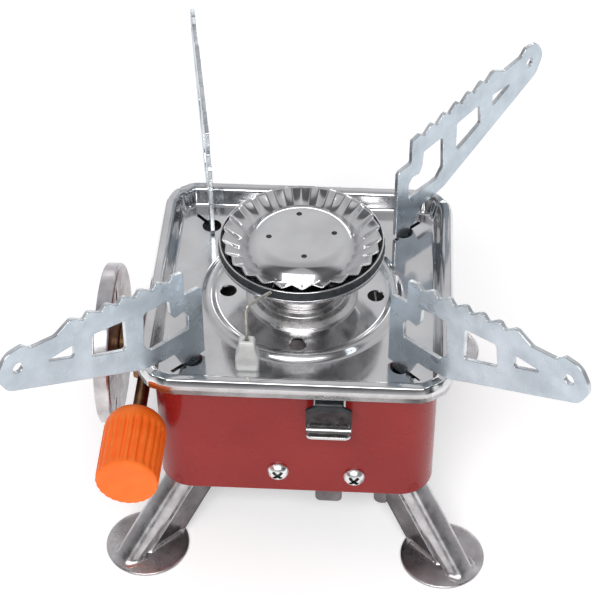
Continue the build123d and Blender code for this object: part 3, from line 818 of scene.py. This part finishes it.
def leg_section():
    """Half of the channel's outline, (across, out) from the middle of its back to its open edge."""
    back = LEG_BACK_N
    corners = [
        (0.0, back + 0.62, 0), (2.7, back + 0.5, 2.5), (4.1, back - 1.9, 1.9), (4.0, back - 3.7, 0.8),
        (2.8, back - 4.9, 0.3), (3.9, back - 5.7, 0.35), (3.35, back - 6.4, 0.3),
        (3.4, LEG_EDGE_N + 1.6, 3.0), (3.9, LEG_EDGE_N, 0),
    ]
    return soft_path(corners, 5, closed=False)


def leg_start(n):
    """Where the channel begins along its length, so that it clears the body as it folds."""
    steps = [(35.0, 3.2), (43.7, 5.2), (46.3, 8.2), (48.2, 15.2), (52.0, 15.4)]
    for (a, low), (b, high) in zip(steps, steps[1:]):
        if n <= b:
            return low + (high - low) * (n - a) / (b - a)
    return steps[-1][1]


def leg_channel():
    half = leg_section()
    outline = [(-t, n) for t, n in reversed(half[1:])] + [(t, n) for t, n in half]
    plan = [Vector((n * sqrt(2), t)) for t, n in outline]
    rows = []
    foot_top = 0.95
    count = 30
    for step in range(count + 8):
        row = []
        for k, (t, n) in enumerate(outline):
            end = n - (foot_top + FILLET) * sqrt(2)
            if step < count:
                along = leg_start(n) + (end - leg_start(n)) * step / (count - 1)
                row.append(((n + along) / sqrt(2), t, (n - along) / sqrt(2)))
                continue
            a = pi / 2 * (step - count + 1) / 8
            height = foot_top + FILLET * (1 - sin(a))
            flare = FILLET * (1 - cos(a))
            along = n - height * sqrt(2)
            before, after = plan[max(0, k - 4)], plan[min(len(plan) - 1, k + 4)]
            side = (after - before).normalized()
            out = Vector((side.y, -side.x))
            if out.dot(plan[k] - Vector((LEG_EDGE_N * sqrt(2) + 8, 0))) < 0:
                out = -out
            flare *= min(1.0, abs(n - LEG_GROOVE_N) / 2.4)
            row.append(((n + along) / sqrt(2) + out.x * flare, t + out.y * flare, height))
        rows.append(row)
    return grid(rows, wrap=False, close=False)


def foot_disc():
    """The round foot: slightly dished, with a thin turned-down edge."""
    profile = [(0, 0.98), (4, 0.98), (8, 0.96), (10.4, 0.95), (11.3, 1.0), (11.8, 0.92), (FOOT_RADIUS, 0.6),
               (FOOT_RADIUS, 0.3), (11.75, 0.02), (11.2, 0.0), (0, 0.0)]
    points, faces = lathe(profile, 96, close=False)
    return [(x + FOOT_REACH, y, z) for x, y, z in points], faces


def leg(corner):
    turn = Matrix.Rotation(radians(CORNERS[corner]), 3, "Z")
    name = "leg_" + corner
    channel = mesh_piece(name + "_channel", *leg_channel(), smooth=50)
    sheet_metal(channel, LEG_SHEET)
    foot = mesh_piece(name + "_foot", *foot_disc(), smooth=50)
    for piece in (channel, foot):
        piece.data.transform(turn.to_4x4())
    centre = turn @ Vector((FOOT_REACH - 6, 0, 12)) * MM
    outward = sum((f.center - centre).dot(f.normal) * f.area for f in channel.data.polygons)
    if outward < 0:
        channel.data.flip_normals()
    return channel, foot


# ---- put the pieces in place -------------------------------------------------------
STEEL = polished_steel()
PRESSED = pressed_steel()
SATIN = satin_steel()
ZINC = zinc("zinc_face", (0.44, 0.50, 0.55), (0.60, 0.67, 0.73), 0.24, 0.38)
# the arms' edge faces: partly the real cut edge, partly a painted highlight, lighter and glossier than the
# zinc faces
ZINC_EDGE_HIGHLIGHT = zinc("zinc_cut_edge_and_highlight", (0.42, 0.44, 0.46), (0.80, 0.84, 0.86), 0.18, 0.34)
RED = red_paint()
ORANGE = orange_plastic()
BLACK_STEEL = ring_black()
BRASS = brass()
# brown brass: the valve's own tone, and painted shade on the lock nut inside the body
BROWN_BRASS = brass("brass_heated_and_shade", (0.16, 0.075, 0.04), (0.42, 0.24, 0.12))
WIRE = wire_metal()
CERAMIC = ceramic_white()
BLACK_PLASTIC = dark_plastic("black_plastic", (0.012, 0.012, 0.013), (0.03, 0.03, 0.032), 0.35, 0.5)
RUBBER = dark_plastic("black_rubber", (0.010, 0.010, 0.010), (0.022, 0.022, 0.022), 0.6, 0.8)
PLATE = bright_plate()
DARK_CHROME = dark_chrome()
# a darker copy of the satin steel: painted reflection on the legs' front flanks, painted shade on the igniter
# bracket and the mixing tube
DARK_STEEL = satin_steel("shaded_steel", (0.10, 0.09, 0.095), (0.24, 0.22, 0.225))
HEAD = satin_steel("screw_head", (0.78, 0.79, 0.79), (0.95, 0.95, 0.95))
# dark grey for the screws' cross recesses and the middle of the lever's lip: painted shade
RECESS_SHADE = satin_steel("screw_recess_shade", (0.10, 0.12, 0.11), (0.28, 0.32, 0.30))
# near black for the inside of the body: painted shade
INSIDE_SHADE = dark_plastic("painted_inside_shade", (0.008, 0.008, 0.008), (0.020, 0.019, 0.019), 0.6, 0.8)

BODY_MIDDLE = 40                             # a height between the body's open bottom and its top


def on_skirt(face):
    """The tray's upright outer side, which is duller than the rest."""
    reach = max(abs(face.center.x), abs(face.center.y))
    return abs(face.normal.z) < 0.35 and reach > (TRAY_HALF - 1.2) * MM


def inside_body(face):
    """The body's inner sides and the underside of its top, which get a near-black colour as painted shade."""
    inward = Vector((face.center.x, face.center.y)).dot(Vector((face.normal.x, face.normal.y))) < 0
    ceiling = abs(face.normal.z) > 0.9 and face.center.z / MM > BODY_MIDDLE
    return ceiling or inward


paint(place(tray(), ROOT, "polished_steel", [STEEL, PRESSED], "top_tray"), on_skirt)
# the body's inside faces get the near-black painted shade
paint(place(refined("body_shell", 0.25, 3), ROOT, "red_paint", [RED, INSIDE_SHADE], "body_shell"), inside_body)

place(burner_cap(), ROOT, "polished_steel", STEEL, "burner_cap")
# black inlays for the pilot holes: painted shade
holes = mesh_piece("cap_pilot_holes", *cap_holes(), smooth=50)
place(holes, ROOT, "dark_steel", BLACK_STEEL)
place(burner_cup(), ROOT, "polished_steel", PRESSED, "burner_cup")
place(burner_collar(), ROOT, "polished_steel", PRESSED, "burner_collar")
place(flame_band(), ROOT, "dark_steel", BLACK_STEEL, "flame_ring")
top_hoop = thin_hoop("flame_ring_top_hoop", RING_RADIUS - 0.55, RING_HIGH + 0.18, 0.24)
low_hoop = thin_hoop("flame_ring_low_hoop", RING_RADIUS - 0.05, RING_LOW + 0.02, 0.2)
place(top_hoop, ROOT, "polished_steel", STEEL, "ring_band")
place(low_hoop, ROOT, "polished_steel", STEEL)

LEVER_LOOKS = [DARK_CHROME, PLATE, RECESS_SHADE, BLACK_STEEL]


def lever_look():
    """A choice for the lever: black at the neck as painted shade, a bright lip as a painted highlight round a
    middle with the dark recess colour as painted shade, and a dark face.
    """
    low, high = span("igniter_lever")
    middle = (low.x + high.x) / 2

    def choose(face):
        spot = face.center / MM
        ahead = spot.y - low.y
        aside = abs(spot.x - middle)
        # painted shade: the neck under the rim is black
        if spot.z > high.z - 2.3:
            return 3
        # painted highlight: the lip gets the bright plate, its middle the dark recess colour as painted shade
        if ahead < LIP_LENGTH - 0.1:
            return 2 if 0.45 < ahead < 1.7 and aside < 5.3 else 1
        return 0

    return choose


paint(place(igniter_lever(), "igniter_button", "bright_plate", LEVER_LOOKS, "igniter_lever"), lever_look())
place(lever_barrel(), "igniter_button", "bright_plate", PLATE)
place(control_knob(), "gas_knob", "orange_plastic", ORANGE, "control_knob")
place(insulator(), ROOT, "ceramic", CERAMIC, "electrode_insulator")


def front_flank(corner):
    """A test for the faces on the front side of a leg's channel, which get the darker steel as a painted
    reflection of the dark under the stove.
    """
    a = radians(CORNERS[corner])

    def test(face):
        spot = face.center / MM
        out = spot.x * cos(a) + spot.y * sin(a)
        flank = (out + spot.z) / sqrt(2) < LEG_BACK_N - 6.2 and spot.z > 2.4
        return flank and face.normal.y < 0

    return test


for corner in CORNERS:
    channel, foot = leg(corner)
    place(channel, "folding_leg_" + corner, "satin_steel", [SATIN, DARK_STEEL], "leg_" + corner)
    # the front flanks get the darker steel: painted reflection
    paint(channel, front_flank(corner))
    place(foot, "folding_leg_" + corner, "satin_steel", SATIN)

ARM_ANGLES = {"front_left": 226.0, "front_right": 318.6, "rear_right": 49.0, "rear_left": 100.0}
for corner in CORNERS:
    arm = refined("arm_" + corner, 0.12, 2)
    a = radians(ARM_ANGLES[corner] + 90)
    across = Vector((cos(a), sin(a), 0))
    place(arm, "pan_support_" + corner, "zinc_plate", [ZINC, ZINC_EDGE_HIGHLIGHT], "arm_" + corner)
    # the edge faces get the lighter zinc: partly the cut edge, partly a painted highlight along it
    paint(arm, lambda face: abs(face.normal.dot(across)) <= 0.7)

# node: (bevel width, bevel steps, slot, look) for the nodes whose CAD shape is already the real one
DETAILED = {
    "electrode_wire": (0, 1, "nickel_wire", WIRE),
    "front_screws": (0.12, 2, "bright_plate", [HEAD, RECESS_SHADE]),
    "valve_body": (0.4, 2, "brass", BROWN_BRASS), "gland_nut": (0.25, 2, "brass", BROWN_BRASS),
    "valve_spindle": (0.2, 2, "brass", BROWN_BRASS), "canister_plate": (0.35, 3, "satin_steel", SATIN),
    "canister_seal": (0.2, 2, "rubber", RUBBER),
    # the igniter bracket: grey steel on its faces turned front and back, black on the rest as painted shade
    "igniter_bracket": (0.2, 2, "satin_steel", [BLACK_STEEL, DARK_STEEL]),
    # the lock nut takes the darker brown brass as painted shade inside the body
    "piezo_housing": (0.3, 2, "black_plastic", BLACK_PLASTIC), "lock_nut": (0.3, 2, "brass", BROWN_BRASS),
    "jet_block": (0.3, 2, "brass", BRASS), "gas_jet": (0.15, 2, "brass", BRASS),
    # the mixing tube and the cap spider are darkened as painted shade inside the body and the burner
    "mixing_tube": (0.15, 2, "satin_steel", DARK_STEEL), "cap_spider": (0.15, 2, "satin_steel", BLACK_STEEL),
    "piezo_plunger": (0.15, 2, "black_plastic", BLACK_PLASTIC), "ignition_lead": (0, 1, "rubber", RUBBER),
    "plunger_spring": (0, 1, "nickel_wire", WIRE), "lever_pin": (0.15, 2, "satin_steel", SATIN),
}
for corner in CORNERS:
    DETAILED["corner_bracket_" + corner] = (0.2, 2, "satin_steel", DARK_STEEL)
    # the arms' pivots and bushes are black as painted shade in the pivot holes
    DETAILED["arm_pivot_" + corner] = (0.2, 2, "satin_steel", BLACK_STEEL)
    DETAILED["arm_bush_" + corner] = (0.2, 2, "dark_steel", BLACK_STEEL)
    DETAILED["leg_pin_" + corner] = (0.2, 2, "satin_steel", SATIN)
finished = {}
for node, (width, segments, slot, surface) in DETAILED.items():
    body = frame["nodes"][node]["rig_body"]
    finished[node] = place(refined(node, width, segments), body, slot, surface, node)
# one sheet in two colours by the way its faces turn: the rest is black as painted shade
paint(finished["igniter_bracket"], lambda face: abs(face.normal.y) > 0.5)

SCREW_SPLIT = 6.0                            # a place between the two screws
RECESS_REACH, RECESS_DEPTH = 1.9, 0.6


def recess_test():
    """A test for the faces in the screws' cross recesses, which get a dark colour as painted shade."""
    points = [v.co / MM for v in finished["front_screws"].data.vertices]
    front = span("front_screws")[0].y
    axes = []
    for side in (-1, 1):
        head = [p for p in points if (p.x - SCREW_SPLIT) * side > 0]
        axes.append([(min(p[i] for p in head) + max(p[i] for p in head)) / 2 for i in (0, 2)])

    def test(face):
        spot = face.center / MM
        near = any(sqrt((spot.x - x) ** 2 + (spot.z - z) ** 2) < RECESS_REACH for x, z in axes)
        sunk = abs(face.normal.y) < 0.4 or spot.y > front + RECESS_DEPTH
        return near and spot.y < front + 2 * RECESS_DEPTH and sunk

    return test


# the recess faces get the dark colour as painted shade
paint(finished["front_screws"], recess_test())


def compress_spring():
    """Gives the striker's spring its own copy of its mesh."""
    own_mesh(finished["plunger_spring"])


compress_spring()


# ---- stage, light and camera -------------------------------------------------------
def stage():
    """A pale floor that stretches past the frame."""
    rows = []
    for i in range(9):
        rows.append([(-2400 + 600 * k, -2400 + 600 * i, -0.02) for k in range(9)])
    floor = mesh_piece("floor", *grid(rows, wrap=False))
    s = Surface("floor_paper", Roughness=0.75, Specular_IOR_Level=0.2, Emission_Strength=0.34)
    s.shader.inputs["Emission Color"].default_value = (1, 1, 1, 1)
    s.colour(s.grain(300), (0.94, 0.94, 0.945), (0.96, 0.96, 0.96))
    s.bumps((s.grain(1.5), 0.01))
    floor.data.materials.append(s.material)


def link_or_set(tree, socket, value):
    if isinstance(value, bpy.types.NodeSocket):
        tree.links.new(value, socket)
    else:
        socket.default_value = value


def mixed(tree, factor, first, second, blend="MIX"):
    """Two colours blended by a factor. Each of the three is a socket or a constant."""
    made = tree.nodes.new("ShaderNodeMix")
    made.data_type = "RGBA"
    made.blend_type = blend
    for socket, value in ((made.inputs["Factor"], factor), (made.inputs[6], first), (made.inputs[7], second)):
        link_or_set(tree, socket, value)
    return made.outputs[2]


def area_light(name, place_at, size, power, aim=(0, 0, 0.06), tint=(1, 1, 1)):
    data = bpy.data.lights.new(name, "AREA")
    data.shape = "RECTANGLE"
    data.size, data.size_y = size
    data.energy = power
    data.color = tint
    lamp = bpy.data.objects.new(name, data)
    lamp.location = place_at
    lamp.rotation_mode = "QUATERNION"
    lamp.rotation_quaternion = (Vector(aim) - Vector(place_at)).to_track_quat("-Z", "Y")
    bpy.context.scene.collection.objects.link(lamp)


def value_ramp(tree, value, stops):
    """A grey colour ramp over a socket's value, from (position, grey) stops."""
    ramp = tree.nodes.new("ShaderNodeValToRGB")
    elements = ramp.color_ramp.elements
    elements[0].position, elements[1].position = stops[0][0], stops[-1][0]
    for position, _ in stops[1:-1]:
        elements.new(position)
    for element, (_, grey) in zip(elements, stops):
        element.color = (grey, grey, grey * 1.01, 1)
    tree.links.new(value, ramp.inputs["Fac"])
    return ramp.outputs["Color"]


def from_signed(tree, value, limit):
    """Map -limit..limit to 0..1."""
    shift = tree.nodes.new("ShaderNodeMapRange")
    shift.inputs["From Min"].default_value = -limit
    shift.inputs["From Max"].default_value = limit
    tree.links.new(value, shift.inputs["Value"])
    return shift.outputs["Result"]


def studio():
    """White surroundings with a dark horizon in front and two dark flanks, for bright metal to mirror."""
    world = bpy.data.worlds.new("studio")
    bpy.context.scene.world = world
    world.use_nodes = True
    tree = world.node_tree
    back = tree.nodes["Background"]
    coords = tree.nodes.new("ShaderNodeTexCoord")
    split = tree.nodes.new("ShaderNodeSeparateXYZ")
    tree.links.new(coords.outputs["Generated"], split.inputs["Vector"])
    height = from_signed(tree, split.outputs["Z"], 1)
    front = value_ramp(tree, height, [
        (0, 0.70), (0.49, 0.75), (0.55, 0.14), (0.64, 0.08), (0.74, 0.50), (0.84, 0.74), (1, 0.50)])
    aside = value_ramp(tree, height, [
        (0, 0.70), (0.49, 0.72), (0.54, 0.42), (0.66, 0.60), (0.84, 0.74), (1, 0.50)])
    forward = tree.nodes.new("ShaderNodeMath")
    forward.operation = "MULTIPLY"
    forward.inputs[1].default_value = -1
    tree.links.new(split.outputs["Y"], forward.inputs[0])
    bearing = tree.nodes.new("ShaderNodeMath")
    bearing.operation = "ARCTAN2"
    tree.links.new(split.outputs["X"], bearing.inputs[0])
    tree.links.new(forward.outputs[0], bearing.inputs[1])
    turn = from_signed(tree, bearing.outputs[0], pi)
    flanks = value_ramp(tree, turn, [
        (0, 1.0), (0.26, 0.9), (0.30, 0.22), (0.38, 0.22), (0.42, 1.0), (0.5, 1.0), (0.58, 1.0),
        (0.62, 0.22), (0.70, 0.22), (0.74, 0.9), (1, 1.0)])
    sector = value_ramp(tree, turn, [(0, 0), (0.26, 0), (0.30, 1), (0.70, 1), (0.74, 0), (1, 0)])
    tint = mixed(tree, 1, mixed(tree, sector, aside, front), flanks, "MULTIPLY")
    path = tree.nodes.new("ShaderNodeLightPath")
    colour = mixed(tree, path.outputs["Is Camera Ray"], tint, (1, 1, 1, 1))
    tree.links.new(colour, back.inputs["Color"])
    back.inputs["Strength"].default_value = 1.0


def camera():
    """The camera's place: turned and raised round the tray's centre, with a slight roll."""
    azimuth, elevation, roll = radians(3.64), radians(42.39), radians(-0.43)
    distance, across, above = 495.74, -1.26, -1.22
    back = Vector((sin(azimuth) * cos(elevation), -cos(azimuth) * cos(elevation), sin(elevation)))
    right = Vector((cos(azimuth), sin(azimuth), 0))
    up = back.cross(right)
    target = Vector((0, 0, FLOOR_Z))
    data = bpy.data.cameras.new("camera")
    data.sensor_width = 36
    data.lens = 106.3
    eye = bpy.data.objects.new("camera", data)
    bpy.context.scene.collection.objects.link(eye)
    turned_right = cos(roll) * right + sin(roll) * up
    turned_up = -sin(roll) * right + cos(roll) * up
    axes = Matrix((turned_right, turned_up, back)).transposed()
    stand = target + back * distance + right * across + up * above
    eye.matrix_world = Matrix.Translation(stand * MM) @ axes.to_4x4()
    bpy.context.scene.camera = eye


stage()
studio()
area_light("key", (-0.04, -0.62, 0.66), (0.72, 0.30), 4.4)
area_light("rear", (0.05, 0.75, 0.35), (0.9, 0.10), 0.8)
camera()
bpy.context.scene.view_settings.view_transform = "Standard"
